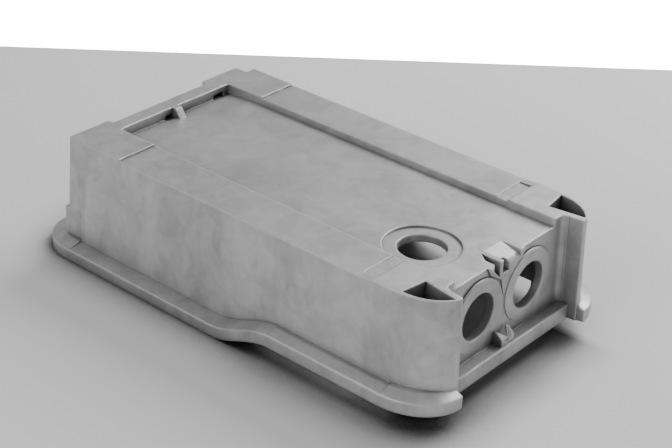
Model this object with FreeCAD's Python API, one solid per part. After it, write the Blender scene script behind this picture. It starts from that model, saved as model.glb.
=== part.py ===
import os
import math
import FreeCAD, Part

V = FreeCAD.Vector
os.makedirs("parts", exist_ok=True)

# ---------------------------------------------------------------------------
# Die cast housing: one thin-walled aluminium casting, open underneath.
# Working axes while building: X runs from the rear rim to the gland end,
# Y across (0 in the middle), Z up from the plane the flange rests on.
# The finished solid is moved so that the centre of its footprint is the origin.
# Millimetres.
# ---------------------------------------------------------------------------

# body
body_len = 265.0          # rear face to gland end face, at the top
half_w = 75.0             # half width at the top
pad_z = 77.0              # top of the corner pads
band_z = 76.2             # top of the long side bands
floor_z = 72.3            # sunk panel between the bands
draft = 0.034             # wall slope, mm per mm
wall = 3.0                # general wall
recess_half_w = 46.0      # half width of the sunk panel
recess_back = 13.9        # where the sunk panel starts behind the rear rim
trough_d = 1.2            # depth of the trough behind the panel
rim_set = 3.9             # middle of the rear face is set in by this
block_l_end = -43.9       # inner end of the rear block on the -Y side
block_r_end = 36.5        # inner end of the rear block on the +Y side
corner_notch = (9.3, 67.7)  # rear corner notch on the +Y side (x, y)
band_x0 = 42.7            # rear end of the lowered band
band_x1 = 224.6           # front end of the lowered band
ramp_x1 = 233.0           # ramp back up to the pad

# corner columns (quarter-oval in plan)
col_cx, col_cy = 243.0, 56.0   # centre of the oval
col_a, col_b = 34.8, 19.0      # half axes at the top
col_in_back = 54.4             # inner flat side at the end face
col_in_front = 55.8            # inner flat side at the front
pk = [(253.8, 55.9), (251.4, 72.4), (276.2, 59.4)]  # pocket corners at the top
pocket_floor = 24.0

# foot flange
rise = 12.4               # the front part of the flange stands this much higher
jog_x0, jog_x1 = 127.0, 172.0
fl_h = 7.6                # edge height of the flange
fl_up = 10.6              # ledge height where it meets the wall
fl_out = 87.0             # half width over the flange
fl_back = -23.4           # rear edge of the flange
fl_back_r = 27.0          # rear corner radius of the flange
fl_front = 284.2          # front edge of the corner lobes
lip_front = 274.8         # front face of the sill between the columns
lip_h = 9.2
ledge_drop = 0.8          # ledge between the corner lobes is this much lower
lobe_x0, lobe_x1 = 9.0, 252.0

# openings
top_hole = (225.2, -21.9, 14.0)
top_cbore_r, top_cbore_d = 22.0, 1.2
end_hole_y = (-24.0, 22.4)
end_hole_z = 45.9
end_hole_r = 14.2
ring_r, ring_t = 21.7, 0.8
gland_in = 3.5            # length of the round sockets behind the end face


def P(x, y, z):
    return V(x, y, z)


def poly_face(pts):
    return Part.Face(Part.makePolygon(pts + [pts[0]]))


def prism_z(pts2, z0, z1):
    f = poly_face([P(x, y, z0) for x, y in pts2])
    return f.extrude(V(0, 0, z1 - z0))


def prism_x(pts_yz, x0, x1):
    f = poly_face([P(x0, y, z) for y, z in pts_yz])
    return f.extrude(V(x1 - x0, 0, 0))


def prism_y(pts_xz, y0, y1):
    f = poly_face([P(x, y0, z) for x, z in pts_xz])
    return f.extrude(V(0, y1 - y0, 0))


def loft_poly(p0, z0, p1, z1):
    w0 = Part.makePolygon([P(x, y, z0) for x, y in p0] + [P(p0[0][0], p0[0][1], z0)])
    w1 = Part.makePolygon([P(x, y, z1) for x, y in p1] + [P(p1[0][0], p1[0][1], z1)])
    return Part.makeLoft([w0, w1], True, True)


def box(x0, x1, y0, y1, z0, z1):
    return Part.makeBox(x1 - x0, y1 - y0, z1 - z0, P(x0, y0, z0))


def oval(cx, cy, a, b, sgn, off, n0=0.0, n1=90.0, steps=0, z=0.0):
    """quarter oval edge from the side (t=0) to the front (t=90)"""
    pts = []
    for i in range(17):
        t = math.radians(n0 + (n1 - n0) * i / 16.0)
        pts.append(P(cx + (a + off) * math.sin(t), sgn * (cy + (b + off) * math.cos(t)), z))
    c = Part.BSplineCurve()
    c.interpolate(pts)
    return c.toShape()


def seg(a, b):
    return Part.LineSegment(a, b).toShape()


def outline(z, off, xb=0.0, front=None):
    """outer plan outline of the body at height z, grown by off"""
    o = off + draft * (pad_z - z)
    y = half_w + o
    xf = body_len + o
    yi_b = col_in_back
    yi_f = col_in_front
    xc = col_cx + col_a + o
    e = []
    # -Y side: rear corner is a shallow facet, then straight to the oval
    a = P(xb - o, -(y - 0.5), z)
    b = P(xb + 9.6, -y, z)
    c = P(col_cx, -y, z)
    e.append(seg(a, b))
    e.append(seg(b, c))
    e.append(oval(col_cx, col_cy, col_a, col_b, -1, o, z=z))
    d = P(xc, -col_cy, z)
    f1 = P(xf, -yi_b, z)
    if yi_f < col_cy:
        d2 = P(xc - 0.15, -yi_f, z)
        e.append(seg(d, d2))
        e.append(seg(d2, f1))
    else:
        e.append(seg(d, f1))
    f2 = P(xf, yi_b, z)
    e.append(seg(f1, f2))
    g = P(xc, col_cy, z)
    if yi_f < col_cy:
        g2 = P(xc - 0.15, yi_f, z)
        e.append(seg(f2, g2))
        e.append(seg(g2, g))
    else:
        e.append(seg(f2, g))
    ov = oval(col_cx, col_cy, col_a, col_b, 1, o, z=z)
    e.append(ov)
    h = P(col_cx, y, z)
    k = P(xb - o, y, z)
    e.append(seg(h, k))
    e.append(seg(k, a))
    edges = Part.__sortEdges__(e)
    return Part.Wire(edges)


# ------------------------------------------------------------------ body ----
w_top = outline(pad_z, 0.0)
w_bot = outline(0.0, 0.0)
body = Part.makeLoft([w_bot, w_top], True, True)

# rear face: middle set in between the two blocks, and the corner notch
o0 = draft * pad_z
body = body.cut(box(-20, rim_set, block_l_end, block_r_end, 30, 90))
body = body.cut(box(-20, corner_notch[0], corner_notch[1], 110, 30, 90))

# lowered side bands with the ramp up to the front pads
for s in (-1, 1):
    prof = [(band_x0, band_z), (band_x1, band_z), (ramp_x1, pad_z - 0.25), (ramp_x1, 90), (band_x0, 90)]
    y0, y1 = (-110, -recess_half_w) if s < 0 else (recess_half_w, 110)
    body = body.cut(prism_y(prof, y0, y1))
    # sunk strip across the front end of the band, fine groove across its rear end
    ya, yb = (-70.0, -recess_half_w) if s < 0 else (recess_half_w, 70.0)
    body = body.cut(box(band_x1, ramp_x1, ya, yb, band_z - 0.5, 90.0))
    ya, yb = (-73.5, -47.0) if s < 0 else (47.0, 73.5)
    body = body.cut(box(band_x0, band_x0 + 0.9, ya, yb, band_z - 0.4, 90.0))

# sunk panel, open at the gland end
rec = loft_poly([(recess_back + 1.2, -recess_half_w), (300, -recess_half_w), (300, recess_half_w), (recess_back + 1.2, recess_half_w)], floor_z,
                [(recess_back, -recess_half_w - 1.0), (300, -recess_half_w - 1.0), (300, recess_half_w + 1.0), (recess_back, recess_half_w + 1.0)], 84.0)
body = body.cut(rec)

# trough behind the panel: the floor falls toward the rear rim
tr = prism_y([(recess_back + 1.0, floor_z + 0.5), (36.0, floor_z + 0.01), (recess_back + 1.0, floor_z - trough_d)], -recess_half_w + 0.6, recess_half_w - 0.6)
body = body.cut(tr)

# ---------------------------------------------------------------- flange ----
def flange_outline(x_back, x_front, out, z, grow=0.0):
    """flange plan outline at height z; grow < 0 pulls it in"""
    y = out + grow
    r = fl_back_r + grow
    xb = x_back - grow
    e = []
    k = math.sqrt(0.5)
    for s in (-1, 1):
        a = P(xb, s * (y - r), z)
        m = P(xb + r * (1 - k), s * (y - r * (1 - k)), z)
        b = P(xb + r, s * y, z)
        e.append(Part.Arc(a, m, b).toShape())
        c = P(x_front, s * y, z)
        e.append(seg(b, c))
    e.append(seg(P(x_front, -y, z), P(x_front, y, z)))
    e.append(seg(P(xb, -(y - r), z), P(xb, y - r, z)))
    return Part.Wire(Part.__sortEdges__(e))


def flange_front(z, grow=0.0):
    y = fl_out - 0.5 + grow
    a = fl_front - 250.0 + grow
    cy = 58.0
    b = y - cy
    yin, yif = 54.6, 57.6
    e = []
    for s in (-1, 1):
        e.append(seg(P(jog_x1, s * y, z), P(250.0, s * y, z)))
        e.append(oval(250.0, cy, a, b, s, 0.0, z=z))
        e.append(seg(P(250.0 + a, s * cy, z), P(250.0 + a, s * yif, z)))
        e.append(seg(P(250.0 + a, s * yif, z), P(266.0, s * yin, z)))
    e.append(seg(P(266.0, -yin, z), P(266.0, yin, z)))
    e.append(seg(P(jog_x1, -y, z), P(jog_x1, y, z)))
    return Part.Wire(Part.__sortEdges__(e))


wi = 9.3   # ledge width
# rear part
r0 = Part.Face(flange_outline(fl_back, jog_x0, fl_out, 0.0)).extrude(V(0, 0, fl_h))
r1 = Part.makeLoft([flange_outline(fl_back, jog_x0, fl_out, fl_h),
                    flange_outline(fl_back, jog_x0, fl_out, fl_up - ledge_drop, -wi)], True, True)
r2 = Part.makeLoft([flange_outline(fl_back, jog_x0, fl_out, fl_h),
                    flange_outline(fl_back, jog_x0, fl_out, fl_up, -wi)], True, True).common(box(-60, lobe_x0, -120, 120, 0, 40))
# front part
f0 = Part.Face(flange_front(rise)).extrude(V(0, 0, fl_h))
f1 = Part.makeLoft([flange_front(rise + fl_h), flange_front(rise + fl_up - ledge_drop, -(wi - 2.8))], True, True)
f2 = Part.makeLoft([flange_front(rise + fl_h), flange_front(rise + fl_up, -(wi - 2.8))], True, True).common(box(lobe_x1, 330, -120, 120, 0, 60))


def scurve(x):
    t = min(1.0, max(0.0, (x - jog_x0) / (jog_x1 - jog_x0)))
    return rise * (t * t * (3 - 2 * t))


def jog(s):
    ws = []
    n = 12
    for i in range(n + 1):
        x = jog_x0 + (jog_x1 - jog_x0) * i / n
        dz = scurve(x)
        t = i / n
        yo = fl_out - 0.5 * t
        yw = 70.0
        ws.append(Part.makePolygon([P(x, s * yw, dz), P(x, s * yo, dz), P(x, s * yo, dz + fl_h),
                                    P(x, s * (fl_out - wi), dz + fl_up - ledge_drop), P(x, s * yw, dz + fl_up - ledge_drop), P(x, s * yw, dz)]))
    return Part.makeLoft(ws, True, True)


flange = r0.fuse([r1, r2, f0, f1, f2, jog(-1), jog(1)])
# clear the part of the flange blanks that lies inside the body outline
outer = body.fuse([flange])

# sill between the two columns
lip = prism_z([(255.0, -54.6), (266.0, -54.6), (lip_front, -56.1), (lip_front, 56.1), (266.0, 54.6), (255.0, 54.6)], rise, rise + lip_h)
outer = outer.fuse([lip])

# rounded inside corners between the end face and the columns
def corner_fillet(s, R=3.8):
    def wire(z):
        xf = body_len + draft * (pad_z - z)
        pts = [(xf - 1.5, s * (col_in_back + 0.6)), (xf + R, s * (col_in_back + 0.6))]
        for i in range(5):
            t = math.radians(90.0 - 22.5 * i)
            pts.append((xf + R - R * math.cos(t), s * (col_in_back - R + R * math.sin(t))))
        pts.append((xf - 1.5, s * (col_in_back - R)))
        return Part.makePolygon([P(x, y, z) for x, y in pts] + [P(pts[0][0], pts[0][1], z)])
    return Part.makeLoft([wire(rise + 1.0), wire(pad_z)], True, True)


outer = outer.fuse([corner_fillet(-1), corner_fillet(1)])

# low block at the rear corner on the -Y side, its side face slightly recessed
outer = outer.cut(box(-30.0, 9.6, -110.0, -76.2, fl_up - 0.2, 29.0))
outer = outer.fuse([box(-5.2, 9.6, -76.2, -66.0, 4.0, 29.0)])

# raised rings and the centre pad on the gland end
x_ring = body_len + draft * (pad_z - end_hole_z) + ring_t
for y in end_hole_y:
    cyl = Part.makeCylinder(ring_r, x_ring - 250.0, P(250.0, y, end_hole_z), V(1, 0, 0))
    outer = outer.fuse([cyl])
    outer = outer.fuse([Part.makeCone(ring_r + 0.6, ring_r, 0.5, P(x_ring - ring_t, y, end_hole_z), V(1, 0, 0))])
pad_front = body_len + 1.3
pad = prism_x([(-17.3, floor_z), (-14.6, 67.2), (-4.2, 60.4), (-1.2, 50.0), (1.0, 50.0), (5.6, 57.5), (12.0, 63.5), (16.4, floor_z - 2.3), (16.4, floor_z)], 255.0, pad_front)
outer = outer.fuse([pad])

# ---------------------------------------------------------------- cavity ----
def cav(z, o):
    """inside plan polygon, o = growth by draft"""
    y = half_w - wall + o
    return [(rim_set + wall + 0.3 - o, -y), (248.2, -y), (250.0, -52.6), (body_len - wall + o, -51.6),
            (body_len - wall + o, 51.6), (250.0, 52.6), (248.2, y), (rim_set + wall + 0.3 - o, y)]


c_top = floor_z - wall
cavity = loft_poly(cav(-1, draft * (pad_z + 1)), -1.0, cav(c_top, draft * (pad_z - c_top)), c_top)
keep = box(-5, 38.0, -49.5, 49.5, c_top - 3.6, 90)          # thicker under the trough
cavity = cavity.cut(keep)
keep2 = box(-5, 13.0, -90, 90, c_top - 3.6, 90)
cavity = cavity.cut(keep2)
cavity = cavity.cut(box(-5, corner_notch[0] + wall, corner_notch[1] - wall, 110, 27.0, 90))   # behind the corner notch
for s in (-1, 1):
    ya, yb = (49.5, half_w - wall - 0.3)
    y0, y1 = (ya, yb) if s > 0 else (-yb, -ya)
    cavity = cavity.fuse([box(16.0, 246.5, y0, y1, 60.0, band_z - wall)])
# the walls follow the foot down to the flange edge
outer = outer.cut(cavity)

# foot of the cavity opens out a little where the flange rests
solid = outer

# material below the stepped foot
under = [(jog_x0 + (jog_x1 - jog_x0) * i / 24.0, scurve(jog_x0 + (jog_x1 - jog_x0) * i / 24.0)) for i in range(25)]
prof = [(jog_x0, -5.0)] + under + [(330.0, rise), (330.0, -5.0)]
solid = solid.cut(prism_y(prof, -120, 120))

# --------------------------------------------------------------- sockets ----
for y in end_hole_y:
    solid = solid.fuse([Part.makeCylinder(end_hole_r + 2.8, x_ring - body_len + gland_in, P(body_len - gland_in, y, end_hole_z), V(1, 0, 0))])
for y in end_hole_y:
    solid = solid.cut(Part.makeCylinder(end_hole_r, 60.0, P(body_len - 30.0, y, end_hole_z), V(1, 0, 0)))

# collar and hole in the sunk panel
tx, ty, tr_ = top_hole
solid = solid.fuse([Part.makeCylinder(top_cbore_r + 1.5, 5.5, P(tx, ty, floor_z - 5.8), V(0, 0, 1))])
solid = solid.cut(Part.makeCylinder(top_cbore_r, 10.0, P(tx, ty, floor_z - top_cbore_d), V(0, 0, 1)))
solid = solid.cut(Part.makeCylinder(tr_, 40.0, P(tx, ty, floor_z - 20.0), V(0, 0, 1)))

# --------------------------------------------------- corner pockets ---------
def pocket(s):
    A, B, C = pk

    def wire(z, shrink):
        cx, cy = 263.0, 62.0
        def q(p):
            dx, dy = p[0] - cx, p[1] - cy
            L = math.hypot(dx, dy)
            return (p[0] - dx / L * shrink, p[1] - dy / L * shrink)
        a, b, c = q(A), q(B), q(C)
        # bulged outer side, parallel to the column's outside
        m = q((266.8, 68.6))
        arc = Part.Arc(P(b[0], s * b[1], z), P(m[0], s * m[1], z), P(c[0], s * c[1], z)).toShape()
        return Part.Wire(Part.__sortEdges__([seg(P(a[0], s * a[1], z), P(b[0], s * b[1], z)), arc,
                                             seg(P(c[0], s * c[1], z), P(a[0], s * a[1], z))]))
    return Part.makeLoft([wire(pocket_floor, 1.2), wire(90.0, -0.3)], True, True)


for s in (-1, 1):
    solid = solid.cut(pocket(s))

# --------------------------------------------- notches at the centre front --
# three-cornered well left of the rib
well = prism_z([(253.6, -6.9), (270.0, -18.8), (270.0, -6.0), (253.6, -6.3)], 50.0, 90.0)
well = well.cut(prism_x([(-20.0, 76.6), (-3.0, 59.6), (0.0, 40.0), (-20.0, 40.0)], 250.0, 275.0))
solid = solid.cut(well)
# square notch right of the rib
notch = prism_z([(262.4, -3.6), (262.4, 0.9), (270.0, 4.0), (270.0, -3.6)], 63.8, 90.0)
solid = solid.cut(notch)
# shallow ramp beside it, its far side shows as a small step
ramp = prism_y([(252.8, floor_z + 0.02), (264.2, floor_z - 1.9), (266.0, floor_z - 3.6), (270.0, floor_z - 9.0), (275.0, floor_z - 9.0), (275.0, 90.0), (252.8, 90.0)], -3.6, 12.6)
solid = solid.cut(ramp)

# small notched cradle on the sill below the rings
cr = prism_x([(-7.9, rise + lip_h - 0.5), (-7.9, rise + lip_h + 7.4), (-2.1, rise + lip_h + 4.2), (1.6, rise + lip_h + 7.8), (3.4, rise + lip_h + 7.4), (3.4, rise + lip_h - 0.5)], 262.0, 273.2)
slope = prism_y([(267.0, rise + lip_h + 9.2), (273.6, rise + lip_h + 3.6), (280.0, rise + lip_h + 3.6), (280.0, 60.0), (267.0, 60.0)], -20, 20)
cr = cr.cut(slope)
vf = [P(266.0, -6.9, rise + lip_h + 7.4), P(266.0, -2.1, rise + lip_h + 5.2), P(266.0, 3.2, rise + lip_h + 9.6)]
vb = [P(274.0, -6.9, rise + lip_h + 2.6), P(274.0, -2.1, rise + lip_h - 0.4), P(274.0, 3.2, rise + lip_h + 4.4)]
valley = Part.makeLoft([Part.makePolygon(vf + [vf[0]]), Part.makePolygon(vb + [vb[0]])], True, True)
cr = cr.cut(valley)
solid = solid.fuse([cr])

# ------------------------------------------------- slots at the rear rim ----
zt = floor_z - trough_d
solid = solid.cut(box(recess_back - 0.2, recess_back + 3.0, -44.6, -3.5, zt - 0.7, 80))
solid = solid.cut(box(recess_back - 0.2, recess_back + 3.0, 1.5, 45.4, zt - 0.7, 80))
# two deeper openings that reach in under the rim
solid = solid.cut(box(recess_back - 4.0, recess_back + 3.0, -9.5, -3.5, zt - 1.2, zt + 1.7))
solid = solid.cut(box(recess_back - 4.0, recess_back + 3.0, 32.5, 41.5, zt - 1.2, zt + 2.2))
# tab between the slots
tab = prism_y([(recess_back - 3.0, pad_z), (recess_back + 3.2, pad_z), (recess_back + 7.2, floor_z - 1.2), (recess_back + 7.2, zt - 2), (recess_back - 3.0, zt - 2)], -3.5, 1.5)
solid = solid.fuse([tab])

solid = solid.removeSplitter()

bb = solid.optimalBoundingBox()
shape = solid.copy()
shape.translate(V(-(bb.XMin + bb.XMax) / 2.0, -(bb.YMin + bb.YMax) / 2.0, -bb.ZMin))
if len(shape.Solids) == 1:
    shape = shape.Solids[0]
shape.exportStep("parts/housing.step")
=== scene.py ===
import bpy, math
from mathutils import Matrix, Vector

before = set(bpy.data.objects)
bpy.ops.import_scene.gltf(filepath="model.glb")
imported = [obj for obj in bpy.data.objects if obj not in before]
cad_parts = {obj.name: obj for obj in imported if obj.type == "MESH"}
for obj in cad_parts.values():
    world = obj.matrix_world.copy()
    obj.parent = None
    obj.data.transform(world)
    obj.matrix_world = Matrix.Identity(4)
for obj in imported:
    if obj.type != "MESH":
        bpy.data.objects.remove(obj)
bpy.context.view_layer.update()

scene = bpy.context.scene
WORLD = 0.54 # soft light from all round
KEY = 25.0 # large window behind and to the right
FILL = 17.5 # weak light from the left front
KEY_AT = (0.1, 1.1, 1.0)
FRONT = 1.8 # weak light from the gland end
TABLE = 0.60
METAL = 1.02


# ---------------------------------------------------------------- helpers ---
def node(nt, kind, x=0, y=0, **vals):
    n = nt.nodes.new(kind)
    n.location = (x, y)
    for k, v in vals.items():
        if hasattr(n, k):
            setattr(n, k, v)
        else:
            n.inputs[k].default_value = v
    return n


def ramp(nt, stops, interp="LINEAR"):
    r = nt.nodes.new("ShaderNodeValToRGB")
    r.color_ramp.interpolation = interp
    els = r.color_ramp.elements
    while len(els) < len(stops):
        els.new(0.5)
    for e, (p, v) in zip(els, stops):
        e.position = p
        e.color = (v, v, v, 1.0) if not isinstance(v, tuple) else v
    return r


def noise(nt, vec, scale, detail=3.0, rough=0.5, dist=0.0):
    n = nt.nodes.new("ShaderNodeTexNoise")
    n.inputs["Scale"].default_value = scale
    n.inputs["Detail"].default_value = detail
    n.inputs["Roughness"].default_value = rough
    n.inputs["Distortion"].default_value = dist
    nt.links.new(vec, n.inputs["Vector"])
    return n.outputs["Fac"]


def math_node(nt, op, a, b=None, c=None, clamp=False):
    m = nt.nodes.new("ShaderNodeMath")
    m.operation = op
    m.use_clamp = clamp
    for i, v in enumerate((a, b, c)):
        if v is None:
            continue
        if isinstance(v, (int, float)):
            m.inputs[i].default_value = v
        else:
            nt.links.new(v, m.inputs[i])
    return m.outputs[0]


def mapping(nt, vec, scale=(1, 1, 1), loc=(0, 0, 0)):
    m = nt.nodes.new("ShaderNodeMapping")
    m.inputs["Scale"].default_value = scale
    m.inputs["Location"].default_value = loc
    nt.links.new(vec, m.inputs["Vector"])
    return m.outputs[0]


# ----------------------------------------------------------- cast metal -----
def cast_metal():
    mat = bpy.data.materials.new("cast_aluminium")
    mat.use_nodes = True
    nt = mat.node_tree
    nt.nodes.clear()
    out = nt.nodes.new("ShaderNodeOutputMaterial")
    bsdf = nt.nodes.new("ShaderNodeBsdfPrincipled")
    nt.links.new(bsdf.outputs[0], out.inputs[0])
    tc = nt.nodes.new("ShaderNodeTexCoord")
    P = tc.outputs["Object"]
    geo = nt.nodes.new("ShaderNodeNewGeometry")
    sepn = nt.nodes.new("ShaderNodeSeparateXYZ")
    nt.links.new(tc.outputs["Normal"], sepn.inputs[0])
    # how vertical a wall is
    upness = math_node(nt, "ABSOLUTE", sepn.outputs[2])
    side = math_node(nt, "SUBTRACT", 1.0, upness, clamp=True)

    # broad flow marks: big soft blotches
    big = noise(nt, P, 16.0, 4.0, 0.55, 0.6)
    mid = noise(nt, P, 62.0, 4.0, 0.6, 0.9)
    small = noise(nt, P, 150.0, 4.0, 0.6, 0.5)
    # vertical streaks on the walls
    streak = noise(nt, mapping(nt, P, (38.0, 38.0, 9.0)), 1.0, 3.0, 0.6, 0.7)
    # round stains
    vor = nt.nodes.new("ShaderNodeTexVoronoi")
    vor.feature = "SMOOTH_F1"
    vor.inputs["Scale"].default_value = 22.0
    vor.inputs["Smoothness"].default_value = 0.6
    warp = noise(nt, P, 25.0, 2.0, 0.5)
    wv = nt.nodes.new("ShaderNodeVectorMath"); wv.operation = "MULTIPLY_ADD"
    cmb = nt.nodes.new("ShaderNodeCombineXYZ")
    nt.links.new(warp, cmb.inputs[0]); nt.links.new(warp, cmb.inputs[1])
    nt.links.new(cmb.outputs[0], wv.inputs[0]); wv.inputs[1].default_value = (0.02, 0.02, 0.02)
    nt.links.new(P, wv.inputs[2])
    nt.links.new(wv.outputs[0], vor.inputs["Vector"])
    st = ramp(nt, [(0.10, 0.0), (0.34, 1.0)])
    nt.links.new(vor.outputs["Distance"], st.inputs[0])
    fine = noise(nt, P, 420.0, 3.0, 0.6)

    rb = ramp(nt, [(0.42, 0.0), (0.58, 1.0)])
    nt.links.new(big, rb.inputs[0])
    rm = ramp(nt, [(0.42, 0.0), (0.58, 1.0)])
    nt.links.new(mid, rm.inputs[0])
    rs = ramp(nt, [(0.42, 0.0), (0.58, 1.0)])
    nt.links.new(streak, rs.inputs[0])

    rq = ramp(nt, [(0.40, 0.0), (0.60, 1.0)])
    nt.links.new(small, rq.inputs[0])
    v = math_node(nt, "MULTIPLY", rb.outputs[0], 0.30)
    v = math_node(nt, "MULTIPLY_ADD", rq.outputs[0], 0.07, v)
    v = math_node(nt, "MULTIPLY_ADD", rm.outputs[0], 0.22, v)
    sv = math_node(nt, "MULTIPLY", rs.outputs[0], side)
    v = math_node(nt, "MULTIPLY_ADD", sv, 0.30, v)
    v = math_node(nt, "MULTIPLY_ADD", st.outputs[0], 0.14, v)
    for (cx, cz, rad, amp) in ((0.052, 0.044, 0.0085, -0.16), (0.035, 0.033, 0.006, -0.12), (0.004, 0.050, 0.010, -0.10)):
        dv = nt.nodes.new("ShaderNodeVectorMath"); dv.operation = "DISTANCE"
        nt.links.new(wv.outputs[0], dv.inputs[0])
        dv.inputs[1].default_value = (cx + 0.010, -0.0765 + 0.010, cz)
        rim = math_node(nt, "SUBTRACT", dv.outputs["Value"], rad)
        rim = math_node(nt, "ABSOLUTE", rim)
        rim = math_node(nt, "DIVIDE", rim, 0.0016)
        rim = math_node(nt, "SUBTRACT", 1.0, rim, clamp=True)
        v = math_node(nt, "MULTIPLY_ADD", rim, amp, v)
    col = ramp(nt, [(0.0, (0.275 * METAL, 0.275 * METAL, 0.277 * METAL, 1)), (0.5, (0.385 * METAL, 0.385 * METAL, 0.387 * METAL, 1)), (1.0, (0.510 * METAL, 0.510 * METAL, 0.512 * METAL, 1))])
    nt.links.new(v, col.inputs[0])

    # painted highlight on the edges and painted shade in the corners
    bev = nt.nodes.new("ShaderNodeBevel")
    bev.samples = 4
    bev.inputs["Radius"].default_value = 0.0018
    dot = nt.nodes.new("ShaderNodeVectorMath"); dot.operation = "DOT_PRODUCT"
    nt.links.new(bev.outputs[0], dot.inputs[0])
    nt.links.new(geo.outputs["Normal"], dot.inputs[1])
    edge = math_node(nt, "SUBTRACT", 1.0, dot.outputs["Value"], clamp=True)
    ao = nt.nodes.new("ShaderNodeAmbientOcclusion")
    ao.samples = 3
    ao.inputs["Distance"].default_value = 0.010
    corner_shade = ramp(nt, [(0.30, 0.60), (0.94, 1.0)])
    nt.links.new(ao.outputs["AO"], corner_shade.inputs[0])
    highlight_mix = nt.nodes.new("ShaderNodeMix"); highlight_mix.data_type = "RGBA"
    # the painted highlight goes only where the edge stands proud; sunk seams get painted shade instead
    ao3 = nt.nodes.new("ShaderNodeAmbientOcclusion")
    ao3.samples = 3
    ao3.inputs["Distance"].default_value = 0.0018
    proud = ramp(nt, [(0.86, 0.0), (0.985, 1.0)])
    nt.links.new(ao3.outputs["AO"], proud.inputs[0])
    crease_shade = ramp(nt, [(0.50, 0.35), (0.93, 1.0)])
    nt.links.new(ao3.outputs["AO"], crease_shade.inputs[0])
    edge_highlight = math_node(nt, "MULTIPLY", edge, 2.6, clamp=True)
    edge_highlight = math_node(nt, "MULTIPLY", edge_highlight, proud.outputs[0])
    nt.links.new(edge_highlight, highlight_mix.inputs["Factor"])
    nt.links.new(col.outputs[0], highlight_mix.inputs["A"])
    # light grey of the painted edge highlight
    highlight_mix.inputs["B"].default_value = (0.62, 0.62, 0.62, 1)
    dm = nt.nodes.new("ShaderNodeMix"); dm.data_type = "RGBA"; dm.blend_type = "MULTIPLY"
    dm.inputs["Factor"].default_value = 1.0
    nt.links.new(highlight_mix.outputs["Result"], dm.inputs["A"])
    nt.links.new(corner_shade.outputs[0], dm.inputs["B"])
    # painted shade: deep hollows are darkened in the colour, as less light reaches them
    ao2 = nt.nodes.new("ShaderNodeAmbientOcclusion")
    ao2.samples = 3
    ao2.inputs["Distance"].default_value = 0.06
    hollow_shade = ramp(nt, [(0.12, 0.22), (0.50, 1.0)])
    nt.links.new(ao2.outputs["AO"], hollow_shade.inputs[0])
    dm2 = nt.nodes.new("ShaderNodeMix"); dm2.data_type = "RGBA"; dm2.blend_type = "MULTIPLY"
    dm2.inputs["Factor"].default_value = 1.0
    nt.links.new(dm.outputs["Result"], dm2.inputs["A"])
    nt.links.new(hollow_shade.outputs[0], dm2.inputs["B"])
    # painted shade in the sunk seams and creases darkens the colour
    dm3 = nt.nodes.new("ShaderNodeMix"); dm3.data_type = "RGBA"; dm3.blend_type = "MULTIPLY"
    dm3.inputs["Factor"].default_value = 1.0
    nt.links.new(dm2.outputs["Result"], dm3.inputs["A"])
    nt.links.new(crease_shade.outputs[0], dm3.inputs["B"])
    nt.links.new(dm3.outputs["Result"], bsdf.inputs["Base Color"])

    bsdf.inputs["Metallic"].default_value = 0.72
    rr = ramp(nt, [(0.0, 0.56), (1.0, 0.40)])
    nt.links.new(v, rr.inputs[0])
    nt.links.new(rr.outputs[0], bsdf.inputs["Roughness"])

    b1 = nt.nodes.new("ShaderNodeBump")
    b1.inputs["Strength"].default_value = 0.16
    b1.inputs["Distance"].default_value = 0.0003
    nt.links.new(fine, b1.inputs["Height"])
    nt.links.new(bev.outputs[0], b1.inputs["Normal"])
    b2 = nt.nodes.new("ShaderNodeBump")
    b2.inputs["Strength"].default_value = 0.25
    b2.inputs["Distance"].default_value = 0.0006
    nt.links.new(mid, b2.inputs["Height"])
    nt.links.new(b1.outputs[0], b2.inputs["Normal"])
    nt.links.new(b2.outputs[0], bsdf.inputs["Normal"])
    return mat


metal = cast_metal()
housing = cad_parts["housing"]
for i in range(len(housing.material_slots)):
    housing.material_slots[i].material = metal
if not housing.material_slots:
    housing.data.materials.append(metal)

# ------------------------------------------------------------------ table ---
bpy.ops.mesh.primitive_plane_add(size=1.0, location=(0, 0, 0))
floor = bpy.context.object
floor.name = "floor"
back_line = 0.0
# the table ends behind the object; beyond it everything is white
fmat = bpy.data.materials.new("table")
fmat.use_nodes = True
fb = fmat.node_tree.nodes["Principled BSDF"]
fb.inputs["Base Color"].default_value = (TABLE, TABLE, TABLE, 1)
fb.inputs["Roughness"].default_value = 0.55
fb.inputs["Specular IOR Level"].default_value = 0.06
floor.data.materials.append(fmat)
# painted shadow: the table colour is darkened where the housing stands over it
fnt = fmat.node_tree
fao = fnt.nodes.new("ShaderNodeAmbientOcclusion")
fao.samples = 4
fao.inputs["Distance"].default_value = 0.036
table_shadow = ramp(fnt, [(0.58, 0.012), (0.93, TABLE)])
fnt.links.new(fao.outputs["AO"], table_shadow.inputs[0])
ftc = fnt.nodes.new("ShaderNodeTexCoord")
fsep = fnt.nodes.new("ShaderNodeSeparateXYZ")
fnt.links.new(ftc.outputs["Object"], fsep.inputs[0])
# the painted shadow is left off the far side, which faces the window and stays bright
no_shadow_mask = math_node(fnt, "SUBTRACT", fsep.outputs[1], 0.056)
no_shadow_mask = math_node(fnt, "DIVIDE", no_shadow_mask, 0.008, clamp=True)
fmx = fnt.nodes.new("ShaderNodeMix"); fmx.data_type = "RGBA"
fnt.links.new(no_shadow_mask, fmx.inputs["Factor"])
fnt.links.new(table_shadow.outputs[0], fmx.inputs["A"])
fmx.inputs["B"].default_value = (TABLE, TABLE, TABLE, 1)
fnt.links.new(fmx.outputs["Result"], fb.inputs["Base Color"])

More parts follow.
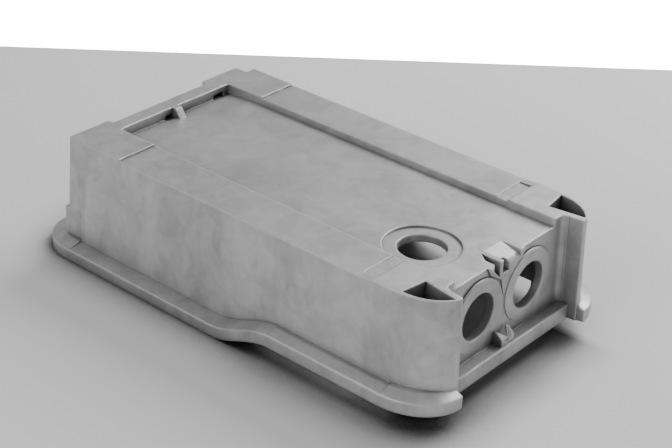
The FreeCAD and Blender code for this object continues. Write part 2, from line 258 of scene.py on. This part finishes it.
# ----------------------------------------------------------------- camera ---
cam = bpy.data.cameras.new("cam")
cam.sensor_fit = "HORIZONTAL"
cam.sensor_width = 36.0
cam.lens = 1634.1 / 672.0 * 36.0
cam.clip_start = 0.05
cam.clip_end = 100.0
co = bpy.data.objects.new("cam", cam)
scene.collection.objects.link(co)
right = Vector((0.75720495, 0.65208886, 0.03769317))
down = Vector((0.34586415, -0.35132628, -0.87002749))
fwd = Vector((-0.55409264, 0.67182584, -0.49156015))
M = Matrix.Identity(4)
for r in range(3):
    M[r][0] = right[r]
    M[r][1] = -down[r]
    M[r][2] = -fwd[r]
pos = Vector((0.67521175 - 0.1304, -0.64165703, 0.51473419))
M.translation = pos
co.matrix_world = M
scene.camera = co


def ray(u, v):
    """point on the table plane seen at position u, v in a view 672 wide"""
    d = fwd + right * ((u - 336.0) / 1634.1) + down * ((v - 224.0) / 1634.1)
    t = -pos.z / d.z
    return pos + d * t


# table outline: its far edge crosses the view behind the object
far_a, far_b = ray(-330.0, 34.2), ray(1000.0, 81.7)
near_a, near_b = ray(-700.0, 1100.0), ray(1500.0, 1100.0)
me = floor.data
vs = [near_a, near_b, far_b, far_a]
me.clear_geometry()
me.from_pydata([(p.x, p.y, 0.0) for p in vs], [], [(0, 1, 2, 3)])
me.update()
if len(me.materials) == 0:
    me.materials.append(fmat)

# white backdrop far behind the table, seen by the camera only
wmat = bpy.data.materials.new("backdrop")
wmat.use_nodes = True
wnt = wmat.node_tree
wnt.nodes.clear()
wo = wnt.nodes.new("ShaderNodeOutputMaterial")
we = wnt.nodes.new("ShaderNodeEmission")
we.inputs["Color"].default_value = (1.0, 1.0, 1.0, 1)
we.inputs["Strength"].default_value = 20.0
wnt.links.new(we.outputs[0], wo.inputs[0])
wm = bpy.data.meshes.new("backdrop")
c0 = pos + fwd * 9.0
wm.from_pydata([tuple(c0 + right * a + down * b) for a, b in ((-6, -6), (6, -6), (6, 6), (-6, 6))], [], [(0, 1, 2, 3)])
wm.update()
wm.materials.append(wmat)
wob = bpy.data.objects.new("backdrop", wm)
scene.collection.objects.link(wob)
wob.visible_diffuse = False
wob.visible_glossy = False
wob.visible_transmission = False
wob.visible_shadow = False

# ----------------------------------------------------------------- lights ---
world = bpy.data.worlds.new("world")
scene.world = world
world.use_nodes = True
bg = world.node_tree.nodes["Background"]
bg.inputs[0].default_value = (1.0, 1.0, 1.0, 1)
bg.inputs[1].default_value = WORLD


def area(name, loc, target, size, power, sy=None):
    l = bpy.data.lights.new(name, "AREA")
    l.energy = power
    l.size = size
    if sy:
        l.shape = "RECTANGLE"
        l.size_y = sy
    o = bpy.data.objects.new(name, l)
    scene.collection.objects.link(o)
    o.location = loc
    o.rotation_euler = (Vector(target) - Vector(loc)).to_track_quat("-Z", "Y").to_euler()
    return o


area("key", KEY_AT, (0, 0, 0.03), 0.9, KEY)
area("fill", (-0.1, -1.5, 0.85), (0, 0, 0.03), 1.2, FILL)
area("front", (1.6, 0.1, 0.6), (0, 0, 0.03), 1.0, FRONT)
